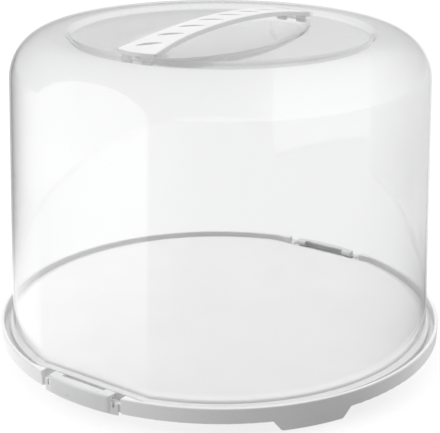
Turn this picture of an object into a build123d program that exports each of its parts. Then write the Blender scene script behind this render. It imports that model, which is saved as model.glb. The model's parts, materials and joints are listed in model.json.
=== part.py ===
from build123d import *
import os
from math import radians, sqrt, tan

os.makedirs("parts", exist_ok=True)

# Cake carrier: a round base tray, a clear deep hood that opens on a rear hinge,
# a bow handle snapped into the hood's crown, and two identical push-on clips.
# Origin: bottom centre, on the floor. +Z up. The front clip faces -Y, the hinge +Y.
# Sizes are in millimetres, angles in degrees.

# ---- base tray ----
rim_radius = 175.0          # outside, at the top of the rim
rim_height = 20.3           # top of the rim above the floor
rim_width = 2.8
rim_edge_round = 0.9
rim_inner_round = 0.8
skirt_draft = 3.0           # the skirt leans in towards its foot
skirt_wall = 2.4
skirt_edge_round = 0.8      # bottom edge of the skirt
base_wall = 2.2
groove_width = 3.0          # open groove between the hood's flange and the rim
groove_depth = 8.3          # below the rim
ledge_drop = 3.1            # the hood's flange rests this far below the rim
ledge_margin = 1.7          # the ledge ends this far inside the flange's edge
plate_drop = 1.1            # cake surface below the rim
plate_edge_round = 1.5
plate_clearance = 2.0       # from the plate's raised edge to the hood's inner wall
rib_thickness = 1.6
rib_rise = 2.8              # ribs end this far above the skirt's bottom edge
rib_rings = (26.0, 72.0, 118.0)
rib_count = 16

# ---- feet, drawn down from the skirt ----
foot_height = 8.2           # floor to the skirt's bottom edge
foot_angle = 57.3           # each side of the front-to-back line
foot_length_top = 60.0      # along the skirt
foot_length_floor = 47.0
foot_depth = 8.6            # across the skirt
foot_wall = 2.2
foot_corner_round = 3.5
foot_edge_round = 1.2

# ---- hood ----
crown_height = 246.4        # above the floor
wall_draft = 2.06
hood_wall = 1.6
flat_inset = 7.5            # the front and rear flats lie this far inside the round wall
facet_edge_round = 8.0      # outside, between a flat and the round wall
shoulder_radius = 34.5
flange_width = 3.9
flange_thickness = 2.4
flange_edge_round = 0.6
recess_margin = 7.7         # level land between the shoulder and the round recess
recess_depth = 4.8
recess_lean = 3.5           # the recess's side leans in by this much
recess_edge_round = 1.4
bowl_half_width = 51.0      # finger bowl under the handle
bowl_end_margin = 7.3       # the bowl ends this far short of the handle's end
bowl_depth = 16.0
bowl_rise = 11.0            # the bowl's ellipsoid is centred this far above its edge
bowl_edge_round = 2.5

# ---- handle ----
handle_end_width = 34.2
handle_waist_width = 25.6
handle_flare = 55.9         # length over which the waist widens to the end
handle_end_rise = 3.0       # the rounded end stands this far out past its corners
handle_corner_round = 1.5
handle_end_height = 4.4     # top face at the corners, above the floor of the recess
handle_arch = 8.6           # rise of the arch between the corners
handle_skin = 2.2
handle_depth = 3.6          # skin and side ribs together
handle_rib = 1.9
handle_edge_round = 0.8
handle_solid_end = 13.8     # the underside is hollow except for this much at each end
slot_count = 8
slot_end_margin = 17.2      # from the outermost slot's centre to the handle's end
slot_length = 21.0          # tip to tip
slot_width = 4.6
slot_bow = 1.4              # rise of the slot's middle line over its chord
slot_angle = 39.0           # from straight across the handle
slot_tip_round = 0.6
leg_spacing = 18.0
leg_width = 8.0
leg_thickness = 2.0
leg_end_margin = 3.6        # from the leg's centre to the handle's end
barb_reach = 1.2
barb_height = 2.6

# ---- sockets for the handle, moulded on the hood ----
socket_length = 15.8
socket_height = 4.0         # above the floor of the recess
socket_side_wall = 1.4
socket_end_wall = 2.4
socket_end_gap = 5.0        # from the socket to the recess's side
socket_floor = 0.5          # thickness under the handle, above the floor of the recess
socket_edge_round = 0.9

# ---- hinge pins on the flange, and the clips that snap onto them ----
pin_radius = 1.25
pin_offset = 4.2            # pin axis outside the flange's flat edge
pin_lug_radius = 1.8
pin_web_width = 18.0
pin_web_thickness = 1.3
knuckle_wall = 1.15
mouth_angle = 235.0         # direction of the knuckle's push-on mouth, 0 is outwards
mouth_opening = 84.0
clip_width = 56.0
clip_wall = 2.0
clip_floor = 2.0
clip_lip_thickness = 1.8
clip_drop = 2.4             # the clip reaches this far below the skirt's bottom edge
clip_edge_round = 2.2       # top edge of the face
clip_foot_round = 2.5
clip_corner_round = 3.0     # at the ends of the face
wing_width = 67.0           # low tapered ends beside the face
wing_end_depth = 1.2        # from the clip's back edge
wing_setback = 0.5          # a wing starts this far behind the face's corner
wing_notch_offset = 1.3     # from the end of the face to the notch in the wing
wing_notch_width = 1.9
wing_notch_height = 4.2     # below the wing's top
window_width = 39.0
window_reach = 1.9          # from the pin axis to the window's outer edge
hook_width = 46.0
hook_height = 2.0
latch_wall = 2.0
latch_wall_offset = 0.7     # from the pin axis outwards to the latch wall
catch_reach = 1.2
catch_rise = 1.9            # above the skirt's bottom edge
catch_height = 2.0
catch_slope = 0.96          # chamfer that guides the hook over the catch
cutout_edge_round = 0.6     # edges of the rim and skirt beside a clip

# ---- clearances ----
seat_gap = 0.3              # flange over the ledge
pin_clearance = 0.1         # knuckle bore over the pin, radial
catch_clearance = 0.3       # hook's tip to the catch's tip
hook_clearance = 0.5        # hook's top to the catch's underside
latch_wall_clearance = 0.9  # top of the latch wall to the knuckle
side_clearance = 3.0        # wing's end to the side of its cut-out
end_play = 0.6              # knuckle's end to the pin's lug
lug_clearance = 0.5         # pin's lug to the side of the cut-out, and to the wing's top
back_clearance = 0.4        # clip's back edge to the latch wall
leg_clearance = 0.2
handle_clearance = 0.2

# ---- working allowances ----
joined = 0.5                # parts of one moulding run this far into each other
past = 5.0                  # cuts run this far past the surface they open
nearly = 0.01               # places closer than this count as the same

# ---- worked out from the sizes above ----
wall_radius = rim_radius - rim_width - groove_width - flange_width   # level with the rim's top
wall_flat = wall_radius - flat_inset
flange_edge = wall_flat + flange_width
ledge_height = rim_height - ledge_drop
plate_height = rim_height - plate_drop
groove_floor = rim_height - groove_depth
rib_bottom = foot_height + rib_rise
ledge_offset = flange_width - ledge_margin
plate_offset = -hood_wall - plate_clearance
rim_offset = flange_width + groove_width
flange_bottom = ledge_height + seat_gap
draft_slope = tan(radians(wall_draft))
skirt_slope = tan(radians(skirt_draft))

recess_radius = wall_radius - draft_slope * (crown_height - rim_height) - shoulder_radius - recess_margin
recess_floor = crown_height - recess_depth
handle_half = recess_radius - recess_lean - socket_end_gap - socket_end_wall - handle_clearance
handle_corner = handle_half - handle_end_rise
handle_end_top = recess_floor + handle_end_height
handle_top = handle_end_top + handle_arch
handle_foot = recess_floor + socket_floor + handle_clearance
socket_top = recess_floor + socket_height
arch_radius = (handle_corner**2 + handle_arch**2) / (2 * handle_arch)
end_radius = ((handle_end_width / 2)**2 + handle_end_rise**2) / (2 * handle_end_rise)
end_centre = handle_half - end_radius
leg_y = handle_half - leg_end_margin
slot_pitch = 2 * (handle_half - slot_end_margin) / (slot_count - 1)
bowl_half_length = handle_half - bowl_end_margin

knuckle_radius = pin_radius + pin_clearance + knuckle_wall
pin_distance = flange_edge + pin_offset
pin_height = rim_height - knuckle_radius
latch_wall_top = pin_height - knuckle_radius - latch_wall_clearance
latch_wall_inner = pin_distance + latch_wall_offset
latch_wall_outer = latch_wall_inner + latch_wall
catch_tip = latch_wall_outer + catch_reach
catch_bottom = foot_height + catch_rise
hook_bottom = catch_bottom - hook_clearance - hook_height
cutout_half = wing_width / 2 + side_clearance
lug_inner = clip_width / 2 + end_play
lug_outer = cutout_half - lug_clearance
clip_bottom = foot_height - clip_drop
clip_back = latch_wall_outer + back_clearance
clip_corner = sqrt(rim_radius**2 - (clip_width / 2)**2)
wing_top = pin_height - pin_lug_radius - lug_clearance

upright = (Align.CENTER, Align.CENTER, Align.MIN)


def at_rear(shape):
    """The same shape on the hinge side."""
    return Rot(0, 0, 180) * shape


def block(half_width, inner, outer, low, high):
    """A block across the front, from inner to outer as distances from the centre."""
    size = Box(2 * half_width, outer - inner, high - low)
    return Pos(0, -(inner + outer) / 2, (low + high) / 2) * size


def flatted_disc(offset, low, high):
    """A disc with the front and rear flats, its outline offset from the hood's wall."""
    outline = Circle(wall_radius + offset) & Rectangle(4 * wall_radius, 2 * (wall_flat + offset))
    return Pos(0, 0, low) * extrude(outline, amount=high - low)


def skirt_cone(inset, low, high):
    """Solid cone of the skirt's outside, shrunk by inset, between two heights."""
    low_radius = rim_radius - inset - skirt_slope * (rim_height - low)
    high_radius = rim_radius - inset - skirt_slope * (rim_height - high)
    return Pos(0, 0, low) * Cone(low_radius, high_radius, high - low, align=upright)


# ---------------------------------------------------------------- base tray

def foot_block(inset):
    """One foot at the front: sloping sides and rounded floor corners, shrunk by inset."""
    top = foot_height + base_wall
    slope = (foot_length_top - foot_length_floor) / 2 / foot_height
    floor_half = foot_length_floor / 2 - inset
    top_half = floor_half + slope * top
    outline = Polyline((-top_half, top), (-floor_half, 0), (floor_half, 0), (top_half, top), close=True)
    side = make_face(outline)
    side = fillet(side.vertices().group_by(Axis.Y)[0], foot_corner_round)
    slab = extrude(Plane.XZ * side, amount=2 * rim_radius)
    outside = skirt_cone(inset, 0, top)
    inside = skirt_cone(foot_depth - inset, 0, top)
    return slab & (outside - inside)


def underside_ribs():
    """Ring and radial ribs, cut level above the skirt's bottom edge."""
    ribs = []
    for radius in rib_rings:
        ring = Cylinder(radius + rib_thickness / 2, plate_height, align=upright)
        ribs.append(ring - Cylinder(radius - rib_thickness / 2, plate_height, align=upright))
    reach = rim_radius - rib_rings[0]
    spoke = Box(reach, rib_thickness, plate_height, align=(Align.MIN, Align.CENTER, Align.MIN))
    for index in range(rib_count):
        angle = (index + 0.5) * 360 / rib_count
        ribs.append(Rot(0, 0, angle) * Pos(rib_rings[0], 0, 0) * spoke)
    return Part() + ribs - Cylinder(rim_radius, rib_bottom, align=upright)


def clip_cutout():
    """Opening in the rim for a clip, with room for the hinge pin behind it."""
    above = rim_height + past
    opening = block(cutout_half, latch_wall_outer, rim_radius + past, -past, above)
    pin_room = block(cutout_half, flange_edge, latch_wall_outer, latch_wall_top, above)
    groove = block(cutout_half, flange_edge, latch_wall_inner, groove_floor, above)
    return opening + pin_room + groove


def clip_catch():
    """Ridge on the latch wall that the clip's hook snaps under."""
    catch_top = catch_bottom + catch_height
    ridge = block(hook_width / 2, latch_wall_outer - joined, catch_tip, catch_bottom, catch_top)
    outer_top = ridge.edges().filter_by(Axis.X).group_by(Axis.Z)[-1].sort_by(Axis.Y)[0]
    return chamfer(outer_top, catch_slope)


def make_base_tray():
    body = skirt_cone(0, foot_height, rim_height)
    body = fillet(body.faces().sort_by(Axis.Z)[-1].edges(), rim_edge_round)
    body = fillet(body.faces().sort_by(Axis.Z)[0].edges(), skirt_edge_round)

    # upper side: groove, ledge for the flange, raised plate for the cake
    well = flatted_disc(rim_offset, groove_floor, rim_height + past)
    ledge = flatted_disc(ledge_offset, groove_floor, ledge_height)
    plate = flatted_disc(plate_offset, groove_floor, plate_height)
    plate = fillet(plate.faces().sort_by(Axis.Z)[-1].edges(), plate_edge_round)
    body -= well - ledge - plate
    rim_edges = body.edges().filter_by_position(Axis.Z, rim_height - nearly, rim_height + nearly)
    body = fillet(rim_edges.sort_by(SortBy.LENGTH)[:-1], rim_inner_round)

    # underside: an even wall below the plate, the ledge and the groove
    hollow = flatted_disc(plate_offset - base_wall, 0, plate_height - base_wall)
    hollow += flatted_disc(ledge_offset - base_wall, 0, ledge_height - base_wall)
    hollow += flatted_disc(rim_offset, 0, groove_floor - base_wall) & skirt_cone(skirt_wall, 0, rim_height)
    body -= hollow - underside_ribs()

    body -= clip_cutout() + at_rear(clip_cutout())
    beside_clips = body.edges().filter_by(
        lambda edge: abs(abs(edge.center().X) - cutout_half) < nearly
        and abs(edge.center().Y) > latch_wall_outer + nearly
    )
    body = fillet(beside_clips, cutout_edge_round)
    body += clip_catch() + at_rear(clip_catch())

    foot = foot_block(0)
    foot_edges = foot.faces().filter_by(GeomType.CONE).edges()
    foot = fillet(foot_edges.filter_by(lambda edge: edge.center().Z < foot_height), foot_edge_round)
    foot -= foot_block(foot_wall)
    for angle in (foot_angle, -foot_angle, 180 - foot_angle, foot_angle - 180):
        body += Rot(0, 0, angle) * foot
    return body


# ---------------------------------------------------------------- hood

def hood_form(inset, low):
    """Solid of the hood's outside, shrunk by inset: drafted wall, flats, round shoulder."""
    top = crown_height - inset
    low_out = (rim_height - low) * draft_slope - inset
    top_out = (rim_height - top) * draft_slope - inset
    half = make_face(
        Polyline((0, low), (wall_radius + low_out, low), (wall_radius + top_out, top), (0, top), close=True)
    )
    corner = half.vertices().group_by(Axis.Y)[-1].sort_by(Axis.X)[-1]
    half = fillet(corner, shoulder_radius - inset)
    turned = revolve(Plane.XZ * half, axis=Axis.Z)
    low_flat = wall_flat + low_out
    top_flat = wall_flat + top_out
    outline = Polyline((-low_flat, low), (low_flat, low), (top_flat, top), (-top_flat, top), close=True)
    side = make_face(outline)
    form = turned & extrude(Plane.YZ * side, amount=2 * wall_radius, both=True)
    facets = form.faces().sort_by(Axis.Y)
    facet_edges = facets[0].edges() + facets[-1].edges()
    facet_edges = facet_edges.filter_by(lambda edge: edge.center().Z > low + past)
    return fillet(facet_edges, facet_edge_round - inset)


def crown_recess(grow):
    """Round recess in the crown; grow gives the skin below it."""
    floor = recess_floor - grow
    spread = recess_lean / recess_depth
    height = crown_height + past - floor
    low_radius = recess_radius - recess_lean + grow
    return Pos(0, 0, floor) * Cone(low_radius, low_radius + spread * height, height, align=upright)


def finger_bowl(grow):
    """Ellipsoid whose cap below the recess makes the finger bowl."""
    depth = bowl_depth + bowl_rise
    share = sqrt(1 - (bowl_rise / depth)**2)
    radii = (bowl_half_width / share + grow, bowl_half_length / share + grow, depth + grow)
    return Pos(0, 0, recess_floor + bowl_rise) * scale(Sphere(1), by=radii)


def hinge_pin():
    """Pin beside the flat, with a lug at each end and a web in the middle."""
    inner = flange_edge - joined
    axis = Pos(0, -pin_distance, pin_height) * Rot(0, 90, 0)
    pin = axis * Cylinder(pin_radius, 2 * lug_outer)
    web = block(pin_web_width / 2, inner, pin_distance, flange_bottom, flange_bottom + pin_web_thickness)
    lug = block(lug_outer, inner, pin_distance, pin_height - pin_lug_radius, pin_height + pin_lug_radius)
    lug += axis * Cylinder(pin_lug_radius, 2 * lug_outer)
    gap = block(lug_inner, inner - past, pin_distance + past, 0, rim_height + past)
    return pin + web + (lug - gap)


def handle_socket():
    """Raised seat for the handle's front end, before the handle's own shape is cut from it."""
    half_width = handle_end_width / 2 + handle_clearance + socket_side_wall
    plan = Circle(end_radius + handle_clearance + socket_end_wall)
    strip = Rectangle(2 * half_width, rim_radius, align=(Align.CENTER, Align.MAX))
    plan = Pos(0, -end_centre) * plan & Pos(0, socket_length - handle_half) * strip
    seat = extrude(Pos(0, 0, crown_height - bowl_depth) * plan, amount=socket_top - crown_height + bowl_depth)
    return fillet(seat.faces().sort_by(Axis.Z)[-1].edges(), socket_edge_round)


def leg_slots():
    """Slots for the two legs at the handle's front end."""
    inner = leg_y - leg_thickness / 2 - barb_reach - 2 * leg_clearance
    outer = leg_y + leg_thickness / 2 + leg_clearance
    slot = block(leg_width / 2 + leg_clearance, inner, outer, crown_height - bowl_depth, socket_top)
    return Pos(leg_spacing / 2, 0, 0) * slot + Pos(-leg_spacing / 2, 0, 0) * slot


def make_hood():
    outside = hood_form(0, flange_bottom)
    outside -= crown_recess(0)
    recess_edges = outside.edges().filter_by(GeomType.CIRCLE).filter_by(
        lambda edge: recess_radius - recess_lean - joined < edge.radius < recess_radius + joined
    )
    outside = fillet(recess_edges, recess_edge_round)
    outside -= finger_bowl(0)
    bowl_edges = outside.edges().filter_by_position(Axis.Z, recess_floor - nearly, recess_floor + nearly)
    outside = fillet(bowl_edges.filter_by(GeomType.BSPLINE), bowl_edge_round)

    flange = flatted_disc(flange_width, flange_bottom, flange_bottom + flange_thickness)
    flange = fillet(flange.faces().sort_by(Axis.Z)[-1].edges(), flange_edge_round)
    outside += flange + handle_socket() + at_rear(handle_socket())

    inside = hood_form(hood_wall, flange_bottom - past) - crown_recess(hood_wall) - finger_bowl(hood_wall)
    handle_seat = extrude(handle_plan(handle_clearance), amount=crown_height)
    handle_seat = Pos(0, 0, recess_floor + socket_floor) * handle_seat
    body = outside - inside - handle_seat - leg_slots() - at_rear(leg_slots())
    return body + hinge_pin() + at_rear(hinge_pin())


# ---------------------------------------------------------------- handle

def handle_plan(grow):
    """The handle seen from above: waisted, with rounded ends, its outline offset by grow."""
    waist, end = handle_waist_width / 2, handle_end_width / 2
    straight = handle_corner - handle_flare
    side = Line((waist, -straight), (waist, straight))
    side += TangentArc((waist, straight), (end, handle_corner), tangent=(0, 1))
    side += TangentArc((waist, -straight), (end, -handle_corner), tangent=(0, -1))
    tip = ThreePointArc((end, handle_corner), (0, handle_half), (-end, handle_corner))
    face = make_face(side + mirror(side, Plane.YZ) + tip + mirror(tip, Plane.XZ))
    corners = [vertex for vertex in face.vertices() if abs(abs(vertex.Y) - handle_corner) < nearly]
    face = fillet(corners, handle_corner_round)
    return offset(face, amount=grow) if grow else face


def arch(depth):
    """Solid under the arched top face, lowered by depth."""
    return Pos(0, 0, handle_top - arch_radius) * Rot(0, 90, 0) * Cylinder(arch_radius - depth, 2 * rim_radius)


def grip_slot():
    """One curved, pointed slot through the skin, lying across the handle."""
    half = slot_length / 2
    outer = ThreePointArc((-half, 0), (0, slot_bow + slot_width / 2), (half, 0))
    inner = ThreePointArc((-half, 0), (0, slot_bow - slot_width / 2), (half, 0))
    face = make_face(outer + inner)
    face = fillet(face.vertices(), slot_tip_round)
    return extrude(Rot(0, 0, slot_angle) * face, amount=crown_height + handle_top)


def snap_leg():
    """Leg with a barb that holds under the hood's skin, at the handle's front end."""
    under_skin = recess_floor - hood_wall - leg_clearance
    low = under_skin - barb_height
    inner, outer = leg_y - leg_thickness / 2, leg_y + leg_thickness / 2
    leg = block(leg_width / 2, inner, outer, low, handle_end_top - handle_skin)
    barb = block(leg_width / 2, outer - joined, outer + barb_reach, low, under_skin)
    tip = barb.edges().filter_by(Axis.X).group_by(Axis.Z)[0].sort_by(Axis.Y)[0]
    return leg + chamfer(tip, barb_height - joined, barb_reach)


def make_carry_handle():
    plan = extrude(handle_plan(0), amount=2 * handle_top)
    strip = plan & (arch(0) - arch(handle_depth))
    strip -= extrude(handle_plan(handle_clearance), amount=handle_foot)
    top_edges = strip.faces().sort_by(Axis.Z)[-1].edges()
    strip = fillet(top_edges, handle_edge_round)
    inner_plan = handle_plan(-handle_rib) & Rectangle(handle_end_width, 2 * (handle_half - handle_solid_end))
    strip -= extrude(inner_plan, amount=2 * handle_top) & (arch(handle_skin) - arch(2 * handle_depth))
    for index in range(slot_count):
        y = (index - (slot_count - 1) / 2) * slot_pitch
        strip -= Pos(0, y, 0) * grip_slot()
    for x in (-leg_spacing / 2, leg_spacing / 2):
        strip += Pos(x, 0, 0) * snap_leg() + Pos(x, 0, 0) * at_rear(snap_leg())
    return strip


# ---------------------------------------------------------------- clips

def clip_plan(back):
    """Clip seen from above: follows the rim, with rounded corners; back is its inner edge."""
    face = Circle(rim_radius) & Pos(0, -back) * Rectangle(
        clip_width, rim_radius, align=(Align.CENTER, Align.MAX)
    )
    return fillet(face.vertices().group_by(Axis.Y)[0], clip_corner_round)


def at_height(low, high, plan):
    """A level slab of the plan between two heights."""
    return Pos(0, 0, low) * extrude(plan, amount=high - low)


def clip_wings():
    """Low ends of the clip that taper back towards the cut-out's sides, each with a notch."""
    root = clip_width / 2 - clip_corner_round
    root_front = clip_corner - wing_setback
    end = wing_width / 2
    end_front = clip_back + wing_end_depth
    outline = Polyline(
        (-end, -clip_back), (-end, -end_front), (-root, -root_front), (root, -root_front), (end, -end_front),
        (end, -clip_back), close=True,
    )
    wings = at_height(clip_bottom, wing_top, make_face(outline))
    notch_inner = clip_width / 2 + wing_notch_offset
    notch_floor = wing_top - wing_notch_height
    notch = block(wing_notch_width / 2, clip_back - past, rim_radius, notch_floor, wing_top + past)
    for x in (notch_inner + wing_notch_width / 2, -notch_inner - wing_notch_width / 2):
        wings -= Pos(x, 0, 0) * notch
    return wings


def knuckles():
    """Two push-on knuckles round the hinge pin, one each side of the window."""
    axis = Pos(0, -pin_distance, pin_height) * Rot(0, 90, 0)
    barrel = axis * Cylinder(knuckle_radius, clip_width)
    return barrel - block(window_width / 2, 0, 2 * rim_radius, 0, 2 * rim_height)


def knuckle_bore():
    """Bore for the pin, with its push-on mouth."""
    bore = Cylinder(pin_radius + pin_clearance, 2 * clip_width)
    span = 2 * knuckle_radius * tan(radians(mouth_opening / 2))
    wedge = make_face(Polyline((0, 0), (2 * knuckle_radius, span), (2 * knuckle_radius, -span), close=True))
    mouth = extrude(Rot(0, 0, mouth_angle) * wedge, amount=clip_width, both=True)
    lying = Plane(origin=(0, -pin_distance, pin_height), x_dir=(0, -1, 0), z_dir=(-1, 0, 0))
    return lying * (bore + mouth)


def make_clip():
    lip_bottom = rim_height - clip_lip_thickness
    rim = Pos(0, 0, clip_bottom) * Cylinder(rim_radius, rim_height - clip_bottom, align=upright)
    rim = fillet(rim.faces().sort_by(Axis.Z)[-1].edges(), clip_edge_round)
    rim = fillet(rim.faces().sort_by(Axis.Z)[0].edges(), clip_foot_round)
    body = (at_height(clip_bottom, rim_height, clip_plan(clip_back)) + clip_wings()) & rim
    top_lip = clip_plan(pin_distance) - Pos(0, -clip_back - joined) * Rectangle(
        2 * clip_width, rim_radius, align=(Align.CENTER, Align.MAX)
    )
    body += at_height(lip_bottom, rim_height, top_lip)

    inner = offset(clip_plan(clip_back), amount=-clip_wall)
    inner += Pos(0, -clip_back) * Rectangle(clip_width - 2 * clip_wall, 3 * clip_wall)
    body -= at_height(clip_bottom + clip_floor, lip_bottom, inner)
    hook_tip = catch_tip + catch_clearance
    body -= block(clip_width / 2 - clip_wall, clip_back - past, hook_tip, 0, lip_bottom)
    hook = block(hook_width / 2, hook_tip, rim_radius, hook_bottom, hook_bottom + hook_height)
    body += hook & Cylinder(rim_radius - clip_wall / 2, 2 * rim_height, align=upright)

    body += knuckles()
    body -= block(window_width / 2, 0, pin_distance + window_reach, 0, rim_height + past)
    return body - knuckle_bore()


nodes = {
    "base_tray": make_base_tray(),
    "hood": make_hood(),
    "carry_handle": make_carry_handle(),
    "front_clip": make_clip(),
    "rear_clip": at_rear(make_clip()),
}

for name, shape in nodes.items():
    export_step(shape, f"parts/{name}.step")
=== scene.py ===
import json
from math import acos, asin, cos, pi, radians, sin, sqrt, tan

import bmesh
import bpy
from bpy.props import FloatProperty, FloatVectorProperty, IntProperty, PointerProperty
from mathutils import Matrix, Vector


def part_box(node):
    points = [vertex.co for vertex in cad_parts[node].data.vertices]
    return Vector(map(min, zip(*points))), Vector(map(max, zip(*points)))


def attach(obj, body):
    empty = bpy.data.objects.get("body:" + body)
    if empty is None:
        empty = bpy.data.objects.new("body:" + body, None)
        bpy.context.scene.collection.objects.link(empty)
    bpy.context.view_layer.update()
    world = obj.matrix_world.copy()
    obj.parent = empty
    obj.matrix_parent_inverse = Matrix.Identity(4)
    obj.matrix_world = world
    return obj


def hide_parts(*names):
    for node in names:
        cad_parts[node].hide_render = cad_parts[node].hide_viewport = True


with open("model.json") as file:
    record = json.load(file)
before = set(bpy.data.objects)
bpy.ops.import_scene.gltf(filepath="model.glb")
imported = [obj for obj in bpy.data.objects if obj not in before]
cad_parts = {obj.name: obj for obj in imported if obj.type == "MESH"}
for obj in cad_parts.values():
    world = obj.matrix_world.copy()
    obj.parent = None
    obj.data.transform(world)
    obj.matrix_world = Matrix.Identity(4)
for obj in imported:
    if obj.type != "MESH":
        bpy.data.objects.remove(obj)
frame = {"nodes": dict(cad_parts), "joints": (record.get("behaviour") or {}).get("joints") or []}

bl_info = {
    "name": "Cake carrier",
    "version": (1, 0, 0),
    "blender": (4, 5, 0),
    "location": "3D View > Sidebar > Carrier",
    "description": "Dresses a cake carrier: clear hood, white tray, bow handle, clips and a pale studio",
    "category": "Object",
}

TRAY_LOW, TRAY_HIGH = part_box("base_tray")
HOOD_LOW, HOOD_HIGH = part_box("hood")
HANDLE_LOW, HANDLE_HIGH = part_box("carry_handle")
JOINTS = {joint["name"]: joint for joint in frame["joints"]}
PIN_FORWARD = -JOINTS["front_clip_hinge"]["pos_m"][1]
PIN_HEIGHT = JOINTS["front_clip_hinge"]["pos_m"][2]

MM = 0.001


# ---------------------------------------------------------------- sizes and colours


def length(name, description, millimetres):
    """A length that shows in the panel, kept in metres."""
    return FloatProperty(
        name=name, description=description, default=millimetres * MM, min=0.0, unit="LENGTH", precision=5
    )


def angle(name, description, degrees):
    """An angle that shows in degrees in the panel, kept in radians."""
    return FloatProperty(name=name, description=description, default=radians(degrees), unit="ROTATION")


def share(name, description, value):
    """A share from 0 to 1."""
    return FloatProperty(
        name=name, description=description, default=value, min=0.0, max=1.0, subtype="FACTOR"
    )


def colour(name, description, value):
    return FloatVectorProperty(
        name=name, description=description, default=value, size=3, min=0.0, max=1.0, subtype="COLOR"
    )


class CarrierHoodSizes(bpy.types.PropertyGroup):
    wall_radius: length("Wall radius", "Outside of the wall, level with the tray's rim", 165.3)
    wall_draft: angle("Wall draft", "The wall leans in towards the crown", 2.06)
    wall: length("Wall", "Thickness of the hood's wall", 1.6)
    flat_inset: length("Flat inset", "The front and rear flats lie this far inside the round wall", 7.5)
    shoulder: length("Shoulder", "Radius of the round shoulder", 34.5)
    facet_soft: length("Facet edge softness", "Softening of the edges beside the flats", 0.55)
    arch_soft: length("Facet arch softness", "Softening of the arched top edge of the flats", 2.4)
    flange_width: length("Flange width", "The flange stands out this far from the wall", 3.9)
    flange_thickness: length("Flange thickness", "Thickness of the flange at the hood's foot", 2.4)
    flange_bottom: length("Flange bottom", "Underside of the flange above the floor", 17.5)
    flange_round: length("Flange rounding", "Rounding of the flange's edges", 0.6)
    recess_margin: length("Recess margin", "Level land between the shoulder and the round recess", 7.7)
    recess_depth: length("Recess depth", "Depth of the round recess in the crown", 4.8)
    recess_lean: length("Recess lean", "The recess's side leans in by this much", 3.5)
    recess_round: length("Recess rounding", "Rounding of the recess's edges", 1.4)
    bowl_half_length: length("Bowl half length", "Half length of the finger bowl, front to back", 96.5)
    bowl_half_width: length("Bowl half width", "Half width of the finger bowl", 51.0)
    bowl_depth: length("Bowl depth", "Depth of the finger bowl below the recess", 16.0)
    bowl_rise: length("Bowl rise", "The bowl's ellipsoid is centred this far above its edge", 11.0)
    bowl_lip: share("Bowl lip", "Rounding of the bowl's edge, as a share of its size", 0.03)
    columns: IntProperty(
        name="Columns", description="Faces round the hood", default=320, min=32, max=640
    )
    edge_angle: angle(
        "Facet edge angle", "Direction of a facet's upright edge, from the front-to-back line", 17.7
    )
    edge_band: angle("Facet edge band", "Half width of the finely divided band along that edge", 1.8)


class CarrierSocketSizes(bpy.types.PropertyGroup):
    half_width: length("Half width", "Half the width of a handle socket", 18.7)
    inner: length("Inner end", "Where the socket starts, from the hood's centre", 88.3)
    outer: length("Outer end", "Where the socket ends, on the centre line", 106.5)
    end_rise: length("End rise", "How far the rounded end stands out past its corners", 3.4)
    side_wall: length("Side wall", "Thickness of the socket's sides", 1.4)
    end_wall: length("End wall", "Thickness of the socket's rounded end", 2.4)
    height: length("Height", "Top of the socket above the floor of the recess", 4.0)
    floor: length("Floor", "Thickness of the socket's floor", 0.5)
    rounding: length("Rounding", "Rounding of the socket's top edges", 0.6)


class CarrierPinSizes(bpy.types.PropertyGroup):
    radius: length("Radius", "Radius of the hinge pins", 1.25)
    lug_inner: length("Lug inner", "Inner face of a lug, from the middle of the carrier", 28.6)
    lug_outer: length("Lug outer", "Outer face of a lug, from the middle of the carrier", 36.0)
    lug_radius: length("Lug radius", "Radius of a lug round the pin", 1.8)
    web_half_width: length("Web half width", "Half the width of the web in the middle", 9.0)
    web_thickness: length("Web thickness", "Thickness of the web in the middle", 1.3)
    root: length("Root", "How far inside the pin's axis the lugs and web start", 4.7)


class CarrierMarkSizes(bpy.types.PropertyGroup):
    mark_radius: length("Mark radius", "Radius of an ejector mark under the tray", 3.2)
    mark_height: length("Mark height", "How far an ejector mark stands proud", 0.15)
    ring_radius: length("Ring radius", "Radius of the outer ring of ejector marks", 95.0)
    count: IntProperty(name="Marks", description="Ejector marks in a ring", default=16, min=3, max=64)
    plate_underside: length("Plate underside", "Underside of the cake plate above the floor", 17.0)


class CarrierFinish(bpy.types.PropertyGroup):
    tray_colour: colour("Tray", "Colour of the tray's plastic", (0.85, 0.85, 0.848))
    handle_colour: colour("Handle", "Colour of the handle's plastic", (0.82, 0.82, 0.82))
    clip_colour: colour("Clip", "Colour of the clips' plastic", (0.75, 0.753, 0.756))
    hood_colour: colour("Hood", "Tint of the clear plastic", (0.957, 0.958, 0.959))
    # painted shade: the hood's tint is darkened by this share in the finger bowl, and by a smaller share in
    # the recess, standing in for the shade that falls there
    bowl_painted_shade: share("Bowl density", "How much more the finger bowl tints what is seen through it", 0.12)
    hood_bend: FloatProperty(
        name="Hood bend",
        description="How far the thin wall bends the view through it, as an index",
        default=1.003,
    )
    hood_shade: share("Hood shade", "Share of the soft light that each clear wall holds back", 0.06)


class CarrierStudio(bpy.types.PropertyGroup):
    lens: FloatProperty(name="Lens", description="Focal length of the camera in millimetres", default=99.5)
    azimuth: angle("Azimuth", "The camera stands this far to the right of the front", 35.0)
    pitch: angle("Pitch", "The camera looks down by this much", 19.557)
    roll: angle("Roll", "The camera's right side is raised by this much", 0.268)
    distance: FloatProperty(
        name="Distance",
        description="From the camera to the carrier's axis, level",
        default=0.906,
        unit="LENGTH",
    )
    height: FloatProperty(name="Height", description="Camera above the floor", default=0.4183, unit="LENGTH")
    floor_size: FloatProperty(
        name="Floor size", description="Side of the pale floor", default=16.0, unit="LENGTH"
    )


# ---------------------------------------------------------------- small helpers


def settings(name):
    return getattr(bpy.context.scene, name)


def wire(tree, socket, value):
    """Links an output to a socket, or sets the socket's own value."""
    if isinstance(value, bpy.types.NodeSocket):
        tree.links.new(value, socket)
    else:
        socket.default_value = value


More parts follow.
